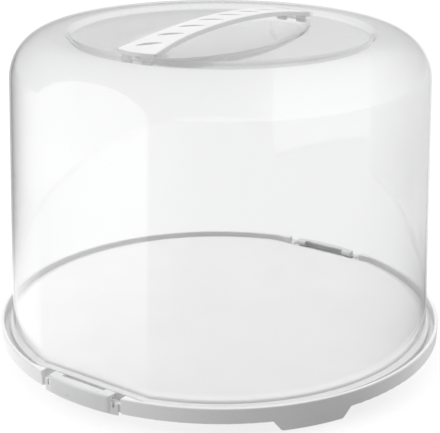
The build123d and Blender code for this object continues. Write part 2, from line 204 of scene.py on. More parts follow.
def maths(tree, operation, *values):
    """A Math node fed by numbers or outputs; returns its output."""
    node = tree.nodes.new("ShaderNodeMath")
    node.operation = operation
    for socket, value in zip(node.inputs, values):
        wire(tree, socket, value)
    return node.outputs[0]


def map_range(tree, value, from_low, from_high, to_low, to_high):
    node = tree.nodes.new("ShaderNodeMapRange")
    for name, item in (
        ("Value", value),
        ("From Min", from_low),
        ("From Max", from_high),
        ("To Min", to_low),
        ("To Max", to_high),
    ):
        wire(tree, node.inputs[name], item)
    return node.outputs[0]


def group_socket(group, name, direction, kind, default=None):
    socket = group.interface.new_socket(name=name, in_out=direction, socket_type=kind)
    if default is not None:
        socket.default_value = default
    return socket


def new_object(name, mesh):
    piece = bpy.data.objects.new(name, mesh)
    bpy.context.scene.collection.objects.link(piece)
    return piece


def piece_from_bmesh(name, shape, smooth_angle=40.0):
    """Finishes a closed bmesh: faces outwards, smooth except along its sharp edges."""
    bmesh.ops.remove_doubles(shape, verts=shape.verts, dist=1e-7)
    bmesh.ops.recalc_face_normals(shape, faces=shape.faces)
    mesh = bpy.data.meshes.new(name)
    shape.to_mesh(mesh)
    shape.free()
    mesh.shade_smooth()
    mesh.set_sharp_from_angle(angle=radians(smooth_angle))
    return new_object(name, mesh)


def grown(name, base_mesh, tree, values):
    """Runs a geometry tree on a mesh and returns its result as a plain piece."""
    source = new_object(name + "_source", base_mesh)
    modifier = source.modifiers.new("shape", "NODES")
    modifier.node_group = tree
    for item in tree.interface.items_tree:
        if item.item_type == "SOCKET" and item.in_out == "INPUT" and item.name in values:
            modifier[item.identifier] = values[item.name]
    evaluated = source.evaluated_get(bpy.context.evaluated_depsgraph_get())
    mesh = bpy.data.meshes.new_from_object(evaluated)
    source.modifiers.remove(modifier)
    bpy.data.objects.remove(source)
    bpy.data.meshes.remove(base_mesh)
    shape = bmesh.new()
    shape.from_mesh(mesh)
    materials = list(mesh.materials)
    bpy.data.meshes.remove(mesh)
    piece = piece_from_bmesh(name, shape)
    for material in materials:
        piece.data.materials.append(material)
    return piece


def paint(piece, material):
    """Gives the whole piece one material."""
    piece.data.materials.clear()
    piece.data.materials.append(material)
    piece.data.polygons.foreach_set("material_index", [0] * len(piece.data.polygons))


# ---------------------------------------------------------------- finishes

PLASTIC_IOR = 1.49
# low and high roughness, wave and grain scale, bump, scratches, milkiness
PLASTIC_SURFACES = {
    "base_white": (0.34, 0.44, 14.0, 1600.0, 0.25, 0.12, 0.0),
    "handle_white": (0.30, 0.40, 26.0, 1900.0, 0.3, 0.1, 0.0),
    "clip_white": (0.27, 0.31, 30.0, 1200.0, 0.1, 0.02, 0.6),
}
DARKER_TONE = 0.98  # the darker patches of white plastic, as a share of its colour
HOLLOW_REACH = 119 * MM  # the crown's hollow lies within this distance of the axis
HOLLOW_MARGIN = 0.8 * MM  # its painted shade starts this far below the recess's floor
RECESS_SHADE_SHARE = 0.25  # the recess's painted shade, as a share of the bowl's


def moulded_grain():
    """Shared effect: slow waviness and fine grain of a moulded plastic face."""
    name = "moulded_grain"
    if name in bpy.data.node_groups:
        return bpy.data.node_groups[name]
    group = bpy.data.node_groups.new(name, "ShaderNodeTree")
    group_socket(group, "Wave Scale", "INPUT", "NodeSocketFloat", 18.0)
    group_socket(group, "Grain Scale", "INPUT", "NodeSocketFloat", 1400.0)
    group_socket(group, "Grain Share", "INPUT", "NodeSocketFloat", 0.3)
    group_socket(group, "Low Roughness", "INPUT", "NodeSocketFloat", 0.3)
    group_socket(group, "High Roughness", "INPUT", "NodeSocketFloat", 0.4)
    group_socket(group, "Height", "OUTPUT", "NodeSocketFloat")
    group_socket(group, "Roughness", "OUTPUT", "NodeSocketFloat")
    group_socket(group, "Variation", "OUTPUT", "NodeSocketFloat")
    given = group.nodes.new("NodeGroupInput").outputs
    out = group.nodes.new("NodeGroupOutput").inputs
    place = group.nodes.new("ShaderNodeTexCoord").outputs["Object"]

    def noise(scale, detail):
        node = group.nodes.new("ShaderNodeTexNoise")
        wire(group, node.inputs["Vector"], place)
        wire(group, node.inputs["Scale"], scale)
        node.inputs["Detail"].default_value = detail
        return node.outputs[0]

    wave = noise(given["Wave Scale"], 1.0)
    grain = noise(given["Grain Scale"], 2.0)
    mix = group.nodes.new("ShaderNodeMix")
    wire(group, mix.inputs["Factor"], given["Grain Share"])
    wire(group, mix.inputs["A"], wave)
    wire(group, mix.inputs["B"], grain)
    wire(group, out["Height"], mix.outputs[0])
    patches = noise(maths(group, "MULTIPLY", given["Wave Scale"], 2.3), 3.0)
    wire(group, out["Variation"], patches)
    wire(
        group,
        out["Roughness"],
        map_range(group, patches, 0.3, 0.7, given["Low Roughness"], given["High Roughness"]),
    )
    return group


def fine_scratches():
    """Shared effect: hair-fine handling scratches, white where a scratch runs."""
    name = "fine_scratches"
    if name in bpy.data.node_groups:
        return bpy.data.node_groups[name]
    group = bpy.data.node_groups.new(name, "ShaderNodeTree")
    group_socket(group, "Density", "INPUT", "NodeSocketFloat", 60.0)
    group_socket(group, "Strength", "INPUT", "NodeSocketFloat", 0.2)
    group_socket(group, "Mask", "OUTPUT", "NodeSocketFloat")
    given = group.nodes.new("NodeGroupInput").outputs
    out = group.nodes.new("NodeGroupOutput").inputs
    place = group.nodes.new("ShaderNodeTexCoord").outputs["Object"]
    lines = []
    for turn, stretch in ((0.4, 0.03), (1.9, 0.05)):
        mapping = group.nodes.new("ShaderNodeMapping")
        mapping.inputs["Rotation"].default_value = (0.0, 0.0, turn)
        mapping.inputs["Scale"].default_value = (1.0, stretch, 1.0)
        wire(group, mapping.inputs["Vector"], place)
        noise = group.nodes.new("ShaderNodeTexNoise")
        wire(group, noise.inputs["Vector"], mapping.outputs[0])
        wire(group, noise.inputs["Scale"], maths(group, "MULTIPLY", given["Density"], 10.0))
        noise.inputs["Detail"].default_value = 2.0
        lines.append(map_range(group, noise.outputs[0], 0.66, 0.72, 0.0, 1.0))
    both = maths(group, "MAXIMUM", *lines)
    wire(group, out["Mask"], maths(group, "MULTIPLY", both, given["Strength"]))
    return group


def plastic(name, base_colour, low_roughness, high_roughness, wave, grain, bump, scratch, milky):
    """White moulded plastic: slow waves, fine grain, patchy gloss and a few scratches."""
    material = bpy.data.materials.new(name)
    material.use_nodes = True
    tree = material.node_tree
    shader = tree.nodes["Principled BSDF"]
    surface = tree.nodes.new("ShaderNodeGroup")
    surface.node_tree = moulded_grain()
    surface.inputs["Wave Scale"].default_value = wave
    surface.inputs["Grain Scale"].default_value = grain
    surface.inputs["Low Roughness"].default_value = low_roughness
    surface.inputs["High Roughness"].default_value = high_roughness
    scratches = tree.nodes.new("ShaderNodeGroup")
    scratches.node_tree = fine_scratches()
    scratches.inputs["Strength"].default_value = scratch

    tone = tree.nodes.new("ShaderNodeMix")
    tone.data_type = "RGBA"
    tone.inputs["A"].default_value = (*[DARKER_TONE * part for part in base_colour], 1.0)
    tone.inputs["B"].default_value = (*base_colour, 1.0)
    wire(tree, tone.inputs["Factor"], map_range(tree, surface.outputs["Variation"], 0.35, 0.65, 0.0, 1.0))
    wire(tree, shader.inputs["Base Color"], tone.outputs["Result"])
    wire(
        tree,
        shader.inputs["Roughness"],
        maths(tree, "ADD", surface.outputs["Roughness"], scratches.outputs["Mask"]),
    )
    shader.inputs["IOR"].default_value = PLASTIC_IOR
    shader.inputs["Subsurface Weight"].default_value = milky
    shader.inputs["Subsurface Radius"].default_value = (1.0, 1.0, 1.0)
    shader.inputs["Subsurface Scale"].default_value = 2 * MM
    bump_node = tree.nodes.new("ShaderNodeBump")
    bump_node.inputs["Strength"].default_value = bump
    bump_node.inputs["Distance"].default_value = 0.4 * MM
    wire(tree, bump_node.inputs["Height"], surface.outputs["Height"])
    wire(tree, shader.inputs["Normal"], bump_node.outputs[0])
    return material


def hollow_shade_share(tree, hood):
    """How far the hood's colour gets painted shade in the crown's hollow: 1 in the bowl, the recess's
    smaller share in the recess, 0 elsewhere.
    """
    parts = tree.nodes.new("ShaderNodeSeparateXYZ")
    wire(tree, parts.inputs[0], tree.nodes.new("ShaderNodeTexCoord").outputs["Object"])
    height = parts.outputs["Z"]
    across = maths(tree, "POWER", parts.outputs["X"], 2.0)
    along = maths(tree, "POWER", parts.outputs["Y"], 2.0)
    reach = maths(tree, "SQRT", maths(tree, "ADD", across, along))
    within = maths(tree, "LESS_THAN", reach, HOLLOW_REACH)
    upper = maths(tree, "GREATER_THAN", height, (HOOD_LOW.z + HOOD_HIGH.z) / 2)
    level = HOOD_HIGH.z - hood.recess_depth - HOLLOW_MARGIN
    bowl = map_range(tree, height, level - 2.2 * hood.wall, level - 1.2 * hood.wall, 1.0, 0.0)
    recess = map_range(tree, height, level + 0.5 * MM, level + 2 * MM, RECESS_SHADE_SHARE, 0.0)
    hollow = maths(tree, "MAXIMUM", bowl, recess)
    return maths(tree, "MULTIPLY", hollow, maths(tree, "MULTIPLY", within, upper))


def clear_plastic(name, finish):
    """Clear moulding: glossy coat over a faint tint, with painted shade darkening the tint in the crown's
    bowl and recess; soft light passes almost freely to the inside.
    """
    material = bpy.data.materials.new(name)
    material.use_nodes = True
    tree = material.node_tree
    shader = tree.nodes["Principled BSDF"]
    surface = tree.nodes.new("ShaderNodeGroup")
    surface.node_tree = moulded_grain()
    surface.inputs["Wave Scale"].default_value = 7.0
    surface.inputs["Grain Scale"].default_value = 500.0
    surface.inputs["Grain Share"].default_value = 0.01

    path = tree.nodes.new("ShaderNodeLightPath").outputs
    soft_light = maths(tree, "MAXIMUM", path["Is Shadow Ray"], path["Is Diffuse Ray"])
    wire(tree, shader.inputs["Alpha"], map_range(tree, soft_light, 0.0, 1.0, 1.0, finish.hood_shade))

    # painted shade: a darker copy of the hood's tint, laid on the crown's bowl and recess
    shaded_tint = [(1 - finish.bowl_painted_shade) * part for part in finish.hood_colour]
    tint = tree.nodes.new("ShaderNodeMix")
    tint.data_type = "RGBA"
    wire(tree, tint.inputs["Factor"], hollow_shade_share(tree, settings("carrier_hood")))
    tint.inputs["A"].default_value = (*finish.hood_colour, 1.0)
    tint.inputs["B"].default_value = (*shaded_tint, 1.0)
    wire(tree, shader.inputs["Base Color"], tint.outputs["Result"])

    shader.inputs["Transmission Weight"].default_value = 1.0
    shader.inputs["IOR"].default_value = finish.hood_bend
    shader.inputs["Roughness"].default_value = 0.0
    shader.inputs["Coat Weight"].default_value = 1.0
    shader.inputs["Coat IOR"].default_value = PLASTIC_IOR
    shader.inputs["Coat Roughness"].default_value = 0.045
    bump_node = tree.nodes.new("ShaderNodeBump")
    bump_node.inputs["Strength"].default_value = 0.2
    bump_node.inputs["Distance"].default_value = 1 * MM
    wire(tree, bump_node.inputs["Height"], surface.outputs["Height"])
    wire(tree, shader.inputs["Normal"], bump_node.outputs[0])
    return material


def finish_material(slot):
    """The material of one of the record's slots, made on first use."""
    name = slot + "_finish"
    if name in bpy.data.materials:
        return bpy.data.materials[name]
    finish = settings("carrier_finish")
    if slot == "hood_clear":
        return clear_plastic(name, finish)
    colours = {
        "base_white": finish.tray_colour,
        "handle_white": finish.handle_colour,
        "clip_white": finish.clip_colour,
    }
    return plastic(name, colours[slot], *PLASTIC_SURFACES[slot])


# ---------------------------------------------------------------- hood

BOWL_STEPS = 22
ARC_STEP = 1.3 * MM
LONGEST_STEP = 9 * MM
FLANGE_STEP = 0.35 * MM
FLANGE_LEAD = 2 * MM  # the flange's rows start this far above it
FLANGE_ROOT_ROUND = 0.5 * MM
FLANGE_FOOT_ROUND = 0.3 * MM


def rounded_line(corners, step):
    """Points along a line of (x, z, radius) corners, each corner an arc of its radius."""
    points = [Vector(corners[0][:2])]
    for before, corner, after in zip(corners, corners[1:], corners[2:]):
        here = Vector(corner[:2])
        to_before = (Vector(before[:2]) - here).normalized()
        to_after = (Vector(after[:2]) - here).normalized()
        radius = corner[2]
        half = to_before.angle(to_after) / 2
        if radius == 0 or half > pi / 2 - 0.001:
            points.append(here)
            continue
        reach = radius / tan(half)
        middle = here + (to_before + to_after).normalized() * (radius / sin(half))
        start = here + to_before * reach - middle
        turn = (pi - 2 * half) * (1 if start.cross(here + to_after * reach - middle) > 0 else -1)
        count = max(3, round(abs(turn) * radius / step))
        for index in range(count + 1):
            spin = Matrix.Rotation(turn * index / count, 2)
            points.append(middle + spin @ start)
    points.append(Vector(corners[-1][:2]))
    return points


def divided(points, longest):
    """The same line with its long stretches divided."""
    out = [points[0]]
    for start, end in zip(points, points[1:]):
        count = max(1, round((end - start).length / longest))
        for index in range(1, count + 1):
            out.append(start.lerp(end, index / count))
    return out


def bowl_line(hood, edge_height, skin, count):
    """The finger bowl from its middle to its rounded lip, as (reach, height) points."""
    deep = hood.bowl_depth + hood.bowl_rise
    share_out = sqrt(1 - (hood.bowl_rise / deep) ** 2)
    centre = hood.bowl_rise + edge_height + skin
    long_axis = hood.bowl_half_length / share_out + skin
    deep += skin
    rim = centre - edge_height
    last = acos(rim / deep)
    points = []
    for index in range(count + 1):
        turn = last * index / count
        points.append(Vector((long_axis * sin(turn), centre - deep * cos(turn))))
    lip = hood.bowl_lip * long_axis
    edge = points[-1]
    kept = [point for point in points if point.x < edge.x - lip]
    start, end = kept[-1], Vector((edge.x + lip, edge_height))
    for index in range(1, 7):
        t = index / 6
        kept.append(start * (1 - t) ** 2 + edge * 2 * t * (1 - t) + end * t * t)
    return kept


def hood_rows(hood):
    """Rows of the shell as (reach, height, flat, squeeze, softness).

    They run from the bowl's middle down the outside, round the flange and up the inside, back to the middle.
    """
    slope = tan(hood.wall_draft)
    crown = HOOD_HIGH.z
    rim = TRAY_HIGH.z
    squeeze_in = hood.bowl_half_width / hood.bowl_half_length

    def wall_line(height):
        return hood.wall_radius - (height - rim) * slope

    crown_edge = wall_line(crown)
    recess_top = crown_edge - hood.shoulder - hood.recess_margin
    recess_low = recess_top - hood.recess_lean
    recess_floor = crown - hood.recess_depth
    flange_top = hood.flange_bottom + hood.flange_thickness
    flange_out = hood.wall_radius + hood.flange_width
    lean = hood.recess_lean / hood.recess_depth

    def side(skin):
        """Bowl, recess, crown, shoulder and wall of one face of the shell, from the middle outwards."""
        floor = recess_floor - skin
        bowl = bowl_line(hood, floor, skin, BOWL_STEPS)
        start = bowl[-1]
        low = recess_low + skin
        top = crown - skin
        high = low + lean * (top - floor)
        foot = hood.flange_bottom if skin else flange_top
        corner = wall_line(top) - skin
        land = Vector((low - hood.recess_round, floor))
        spread = [start.lerp(land, index / 8) for index in range(1, 8)]
        edge_round = max(hood.recess_round - skin / 2, 0.0004)
        line = rounded_line(
            [
                (land.x, land.y, 0),
                (low, floor, edge_round),
                (high, top, edge_round),
                (corner, top, hood.shoulder - skin),
                (wall_line(foot) - skin, foot, 0),
            ],
            ARC_STEP,
        )
        rows = [(point.x, point.y, squeeze_in) for point in bowl]
        for point in spread:
            share_out = (point.x - start.x) / (land.x - start.x)
            rows.append((point.x, point.y, squeeze_in + (1 - squeeze_in) * share_out))
        rows += [(point.x, point.y, 1.0) for point in divided(line, LONGEST_STEP)]
        return rows

    outside = side(0.0)
    foot_wall = wall_line(flange_top)
    flange = rounded_line(
        [
            (foot_wall, flange_top + FLANGE_LEAD, 0),
            (foot_wall, flange_top, FLANGE_ROOT_ROUND),
            (flange_out, flange_top, hood.flange_round),
            (flange_out, hood.flange_bottom, FLANGE_FOOT_ROUND),
            (foot_wall - hood.wall, hood.flange_bottom, FLANGE_FOOT_ROUND),
            (foot_wall - hood.wall, flange_top + FLANGE_LEAD / 2, 0),
        ],
        FLANGE_STEP,
    )
    rows = outside[:-1]
    rows += [(point.x, point.y, 1.0) for point in flange]
    inside = side(hood.wall)[:-1]
    while inside[-1][1] < flange_top + FLANGE_LEAD:
        inside.pop()
    while rows[len(outside) - 2][1] < flange_top + FLANGE_LEAD:
        rows.pop(len(outside) - 2)
        outside.pop()
    outer_count = len(outside) - 1 + len(flange)
    rows += reversed(inside)

    shoulder_start = crown - hood.shoulder
    full = []
    for index, (reach, height, squeeze) in enumerate(rows):
        skin = hood.wall if index >= outer_count else 0.0
        flat = max(reach, wall_line(height) - skin) - hood.flat_inset
        above = min(max((height - shoulder_start) / (crown - shoulder_start), 0.0), 1.0)
        soft = hood.facet_soft + (hood.arch_soft - hood.facet_soft) * above
        full.append((reach, height, flat, squeeze, soft))
    return full


def flatted_shell_tree():
    """Geometry tree: turns a line of rows round the axis and squares it off with two flats."""
    tree = bpy.data.node_groups.new("flatted_shell", "GeometryNodeTree")
    group_socket(tree, "Geometry", "INPUT", "NodeSocketGeometry")
    group_socket(tree, "Columns", "INPUT", "NodeSocketInt", 320)
    group_socket(tree, "Edge Angle", "INPUT", "NodeSocketFloat", 0.3)
    group_socket(tree, "Edge Band", "INPUT", "NodeSocketFloat", 0.03)
    group_socket(tree, "Material", "INPUT", "NodeSocketMaterial")
    group_socket(tree, "Geometry", "OUTPUT", "NodeSocketGeometry")
    given = tree.nodes.new("NodeGroupInput").outputs
    result = tree.nodes.new("NodeGroupOutput").inputs

    size = tree.nodes.new("GeometryNodeAttributeDomainSize")
    wire(tree, size.inputs[0], given["Geometry"])
    rows = size.outputs["Point Count"]
    grid = tree.nodes.new("GeometryNodeMeshGrid")
    wire(tree, grid.inputs["Vertices X"], maths(tree, "ADD", given["Columns"], 1.0))
    wire(tree, grid.inputs["Vertices Y"], rows)
    index = tree.nodes.new("GeometryNodeInputIndex").outputs[0]
    row = maths(tree, "FLOORED_MODULO", index, rows)
    column = maths(tree, "FLOOR", maths(tree, "DIVIDE", maths(tree, "ADD", index, 0.5), rows))

    def sampled(value):
        node = tree.nodes.new("GeometryNodeSampleIndex")
        node.data_type = "FLOAT_VECTOR"
        wire(tree, node.inputs["Geometry"], given["Geometry"])
        wire(tree, node.inputs["Value"], value)
        wire(tree, node.inputs["Index"], row)
        parts = tree.nodes.new("ShaderNodeSeparateXYZ")
        wire(tree, parts.inputs[0], node.outputs[0])
        return parts.outputs

    place = sampled(tree.nodes.new("GeometryNodeInputPosition").outputs[0])
    named = tree.nodes.new("GeometryNodeInputNamedAttribute")
    named.data_type = "FLOAT_VECTOR"
    named.inputs["Name"].default_value = "row_shape"
    shape = sampled(named.outputs[0])
    reach, height = place["X"], place["Z"]
    flat, squeeze, soft = shape["X"], shape["Y"], shape["Z"]

    # four mirrored quarters, each with a finely divided band beside the facet's edge
    quarters = maths(tree, "MULTIPLY", maths(tree, "DIVIDE", column, given["Columns"]), 4.0)
    quarter = maths(tree, "FLOOR", quarters)
    inside = maths(tree, "SUBTRACT", quarters, quarter)
    odd = maths(tree, "FLOORED_MODULO", quarter, 2.0)
    other_way = maths(tree, "SUBTRACT", 1.0, maths(tree, "MULTIPLY", inside, 2.0))
    turned = maths(tree, "ADD", inside, maths(tree, "MULTIPLY", odd, other_way))
    band_low = maths(tree, "SUBTRACT", given["Edge Angle"], given["Edge Band"])
    band = maths(tree, "MULTIPLY", given["Edge Band"], 2.0)
    rest = maths(tree, "SUBTRACT", pi / 2, maths(tree, "ADD", band_low, band))
    first = map_range(tree, turned, 0.0, 0.25, 0.0, band_low)
    second = map_range(tree, turned, 0.25, 0.45, 0.0, band)
    third = map_range(tree, turned, 0.45, 1.0, 0.0, rest)
    turn = maths(tree, "ADD", maths(tree, "ADD", first, second), third)
    later_pair = maths(tree, "GREATER_THAN", quarter, 1.5)
    right = maths(tree, "SUBTRACT", 1.0, maths(tree, "MULTIPLY", later_pair, 2.0))
    middle_pair = maths(tree, "COMPARE", quarter, 1.5, 0.6)
    back = maths(tree, "SUBTRACT", 1.0, maths(tree, "MULTIPLY", middle_pair, 2.0))

    across = maths(tree, "MULTIPLY", maths(tree, "SINE", turn), maths(tree, "MULTIPLY", reach, squeeze))
    along = maths(tree, "MULTIPLY", maths(tree, "COSINE", turn), reach)
    along = maths(tree, "SMOOTH_MIN", along, flat, soft)
    point = tree.nodes.new("ShaderNodeCombineXYZ")
    wire(tree, point.inputs["X"], maths(tree, "MULTIPLY", across, right))
    wire(tree, point.inputs["Y"], maths(tree, "MULTIPLY", along, back))
    wire(tree, point.inputs["Z"], height)

    moved = tree.nodes.new("GeometryNodeSetPosition")
    wire(tree, moved.inputs["Geometry"], grid.outputs["Mesh"])
    wire(tree, moved.inputs["Position"], point.outputs[0])
    merged = tree.nodes.new("GeometryNodeMergeByDistance")
    wire(tree, merged.inputs["Geometry"], moved.outputs[0])
    merged.inputs["Distance"].default_value = 2e-6
    real = tree.nodes.new("GeometryNodeRealizeInstances")
    wire(tree, real.inputs[0], merged.outputs[0])
    painted = tree.nodes.new("GeometryNodeSetMaterial")
    wire(tree, painted.inputs["Geometry"], real.outputs[0])
    wire(tree, painted.inputs["Material"], given["Material"])
    wire(tree, result["Geometry"], painted.outputs[0])
    return tree


class CARRIER_OT_hood(bpy.types.Operator):
    """Builds the clear hood: bowl, recess, crown, shoulder, drafted wall with two flats, and flange"""

    bl_idname = "carrier.hood"
    bl_label = "Clear hood"

    def execute(self, context):
        hood = settings("carrier_hood")
        rows = hood_rows(hood)
        line = bpy.data.meshes.new("hood_rows")
        line.from_pydata(
            [(reach, 0.0, height) for reach, height, *_ in rows],
            [(index, index + 1) for index in range(len(rows) - 1)],
            [],
        )
        shape = line.attributes.new("row_shape", "FLOAT_VECTOR", "POINT")
        for item, row in zip(shape.data, rows):
            item.vector = row[2:]
        values = {
            "Columns": hood.columns,
            "Edge Angle": hood.edge_angle,
            "Edge Band": hood.edge_band,
            "Material": finish_material("hood_clear"),
        }
        piece = grown("hood_shell", line, flatted_shell_tree(), values)
        fittings = sockets_piece()
        fuse(fittings, pins_piece(), overlapping=True)
        fuse(piece, fittings)
        paint(piece, finish_material("hood_clear"))
        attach(piece, "hood")
        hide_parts("hood")
        return {"FINISHED"}


# ---------------------------------------------------------------- sockets and hinge pins on the hood

SOCKET_OVERLAP = 0.3 * MM  # the sockets reach this far into the recess's floor, so that the two join
SOCKET_END_EASE = 0.2 * MM  # the end's inside is this much flatter than its outside
PIN_END_GAP = 0.5 * MM  # a pin ends this far inside its lug's outer face


def arc_outline(half_width, inner, outer, rise, count=14):
    """Plan of a socket: straight sides from the inner end, and a bulged outer end."""
    radius = (half_width**2 + rise**2) / (2 * rise)
    centre = outer - radius
    swing = asin(half_width / radius)
    points = [(half_width, inner)]
    for index in range(count + 1):
        turn = swing * (1 - 2 * index / count)
        points.append((radius * sin(turn), centre + radius * cos(turn)))
    points.append((-half_width, inner))
    return points


def extruded(shape, outline, low, high):
    """Adds a closed block with the given plan to a bmesh and returns its top face."""
    bottom = [shape.verts.new((x, y, low)) for x, y in outline]
    top = [shape.verts.new((x, y, high)) for x, y in outline]
    shape.faces.new(bottom)
    top_face = shape.faces.new(top)
    for index in range(len(outline)):
        after = (index + 1) % len(outline)
        shape.faces.new((bottom[index], bottom[after], top[after], top[index]))
    return top_face


def half_turn(shape):
    """Adds a copy of everything in the bmesh, turned half round the carrier's axis."""
    copy = bmesh.ops.duplicate(shape, geom=shape.verts[:] + shape.edges[:] + shape.faces[:])
    verts = [item for item in copy["geom"] if isinstance(item, bmesh.types.BMVert)]
    bmesh.ops.rotate(shape, verts=verts, cent=(0, 0, 0), matrix=Matrix.Rotation(pi, 3, "Z"))


def sockets_piece():
    """The two raised sockets that hold the handle's ends."""
    size = settings("carrier_sockets")
    hood = settings("carrier_hood")
    recess_floor = HOOD_HIGH.z - hood.recess_depth
    top = recess_floor + size.height
    sunk = recess_floor - SOCKET_OVERLAP
    outer = arc_outline(size.half_width, size.inner, size.outer, size.end_rise)
    inner = arc_outline(
        size.half_width - size.side_wall,
        size.inner,
        size.outer - size.end_wall,
        size.end_rise - SOCKET_END_EASE,
    )
    shape = bmesh.new()
    rim = extruded(shape, outer + inner[::-1], sunk, top)
    bmesh.ops.bevel(
        shape,
        geom=list(rim.edges),
        offset=size.rounding,
        segments=3,
        profile=0.5,
        affect="EDGES",
        clamp_overlap=True,
    )
    extruded(shape, inner, sunk, recess_floor + size.floor)
    half_turn(shape)
    return piece_from_bmesh("handle_sockets", shape)


def pins_piece():
    """The hinge pins at the front and rear of the hood's flange, with their lugs and webs."""
    size = settings("carrier_pins")
    hood = settings("carrier_hood")
    shape = bmesh.new()
    to_x = Matrix.Rotation(pi / 2, 4, "Y")
    place = Matrix.Translation((0, -PIN_FORWARD, PIN_HEIGHT)) @ to_x
    bmesh.ops.create_cone(
        shape,
        cap_ends=True,
        segments=28,
        radius1=size.radius,
        radius2=size.radius,
        depth=2 * (size.lug_outer - PIN_END_GAP),
        matrix=place,
    )
    for side in (-1, 1):
        x = sorted((side * size.lug_inner, side * size.lug_outer))
        root = PIN_FORWARD - size.root
        outline = [(root, -size.lug_radius), (root, size.lug_radius)]
        for index in range(13):
            turn = pi / 2 - pi * index / 12
            outline.append((PIN_FORWARD + size.lug_radius * cos(turn), size.lug_radius * sin(turn)))
        before = set(shape.verts)
        extruded(shape, outline, x[0], x[1])
        for vert in set(shape.verts) - before:
            forward, up, across = vert.co
            vert.co = (across, -forward, PIN_HEIGHT + up)
    low = hood.flange_bottom
    w = size.web_half_width
    start, end = -PIN_FORWARD, -(PIN_FORWARD - size.root)
    web = [(-w, start), (w, start), (w, end), (-w, end)]
    extruded(shape, web, low, low + size.web_thickness)
    half_turn(shape)
    return piece_from_bmesh("hinge_pins", shape)


def fuse(piece, other, overlapping=False):
    """Joins another closed piece to a piece, as one closed skin, and removes it.

    The join drops the other piece's material, so the whole is painted afterwards.
    """
    modifier = piece.modifiers.new("fuse", "BOOLEAN")
    modifier.operation = "UNION"
    modifier.solver = "EXACT"
    modifier.use_self = overlapping
    modifier.object = other
    evaluated = piece.evaluated_get(bpy.context.evaluated_depsgraph_get())
    mesh = bpy.data.meshes.new_from_object(evaluated)
    piece.modifiers.remove(modifier)
    bpy.data.objects.remove(other)
    old = piece.data
    piece.data = mesh
    bpy.data.meshes.remove(old)


# ---------------------------------------------------------------- tray, handle and clips


def mark_ring_tree():
    """Geometry tree: a ring of low round marks."""
    tree = bpy.data.node_groups.new("mark_ring", "GeometryNodeTree")
    group_socket(tree, "Geometry", "INPUT", "NodeSocketGeometry")
    group_socket(tree, "Count", "INPUT", "NodeSocketInt", 16)
    group_socket(tree, "Ring Radius", "INPUT", "NodeSocketFloat", 0.09)
    group_socket(tree, "Mark Radius", "INPUT", "NodeSocketFloat", 0.003)
    group_socket(tree, "Mark Height", "INPUT", "NodeSocketFloat", 0.0002)
    group_socket(tree, "Level", "INPUT", "NodeSocketFloat", 0.017)
    group_socket(tree, "Material", "INPUT", "NodeSocketMaterial")
    group_socket(tree, "Geometry", "OUTPUT", "NodeSocketGeometry")
    given = tree.nodes.new("NodeGroupInput").outputs
    result = tree.nodes.new("NodeGroupOutput").inputs
    ring = tree.nodes.new("GeometryNodeMeshCircle")
    wire(tree, ring.inputs["Vertices"], given["Count"])
    wire(tree, ring.inputs["Radius"], given["Ring Radius"])
    disc = tree.nodes.new("GeometryNodeMeshCylinder")
    disc.inputs["Vertices"].default_value = 24
    wire(tree, disc.inputs["Radius"], given["Mark Radius"])
    wire(tree, disc.inputs["Depth"], maths(tree, "MULTIPLY", given["Mark Height"], 2.0))
    spread = tree.nodes.new("GeometryNodeInstanceOnPoints")
    wire(tree, spread.inputs["Points"], ring.outputs["Mesh"])
    wire(tree, spread.inputs["Instance"], disc.outputs["Mesh"])
    lift = tree.nodes.new("ShaderNodeCombineXYZ")
    wire(tree, lift.inputs["Z"], given["Level"])
    moved = tree.nodes.new("GeometryNodeTransform")
    wire(tree, moved.inputs["Geometry"], spread.outputs[0])
    wire(tree, moved.inputs["Translation"], lift.outputs[0])
    real = tree.nodes.new("GeometryNodeRealizeInstances")
    wire(tree, real.inputs[0], moved.outputs[0])
    painted = tree.nodes.new("GeometryNodeSetMaterial")
    wire(tree, painted.inputs["Geometry"], real.outputs[0])
    wire(tree, painted.inputs["Material"], given["Material"])
    wire(tree, result["Geometry"], painted.outputs[0])
    return tree


class CARRIER_OT_tray(bpy.types.Operator):
    """Finishes the white tray and adds the ejector marks under its plate"""

    bl_idname = "carrier.tray"
    bl_label = "Tray"

    def execute(self, context):
        material = finish_material("base_white")
        paint(frame["nodes"]["base_tray"], material)
        marks = settings("carrier_marks")
        values = {
            "Count": marks.count,
            "Ring Radius": marks.ring_radius,
            "Mark Radius": marks.mark_radius,
            "Mark Height": marks.mark_height,
            "Level": marks.plate_underside,
            "Material": material,
        }
        seed = bpy.data.meshes.new("mark_seed")
        piece = grown("ejector_marks", seed, mark_ring_tree(), values)
        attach(piece, "base")
        return {"FINISHED"}


class CARRIER_OT_handle(bpy.types.Operator):
    """Finishes the bow handle"""

    bl_idname = "carrier.handle"
    bl_label = "Handle"

    def execute(self, context):
        paint(frame["nodes"]["carry_handle"], finish_material("handle_white"))
        return {"FINISHED"}


class CARRIER_OT_clips(bpy.types.Operator):
    """Finishes the front and rear clips"""

    bl_idname = "carrier.clips"
    bl_label = "Clips"

    def execute(self, context):
        for node in ("front_clip", "rear_clip"):
            paint(frame["nodes"][node], finish_material("clip_white"))
        return {"FINISHED"}


# ---------------------------------------------------------------- studio

FLOOR_TONE = 0.25
FLOOR_GLOW = 0.75
# the floor as the hood's gloss mirrors it, as (share of a turn, brightness):
# 0 is the left side, 0.25 the front, 0.5 the right side and 0.75 the rear
FLOOR_SEEN = (
    (0.0, 0.675), (0.02, 0.9), (0.044, 1.12), (0.092, 1.38), (0.17, 1.38), (0.219, 0.9), (0.25, 0.55),
    (0.272, 0.4), (0.3, 0.2), (0.347, 0.03), (0.408, 0.0), (0.472, 0.02), (0.542, 0.1), (0.625, 0.35),
    (0.678, 0.62), (0.711, 0.78), (0.736, 0.86), (0.78, 0.88), (0.82, 0.78), (0.86, 0.54), (0.93, 0.375),
    (0.97, 0.48), (1.0, 0.675),
)
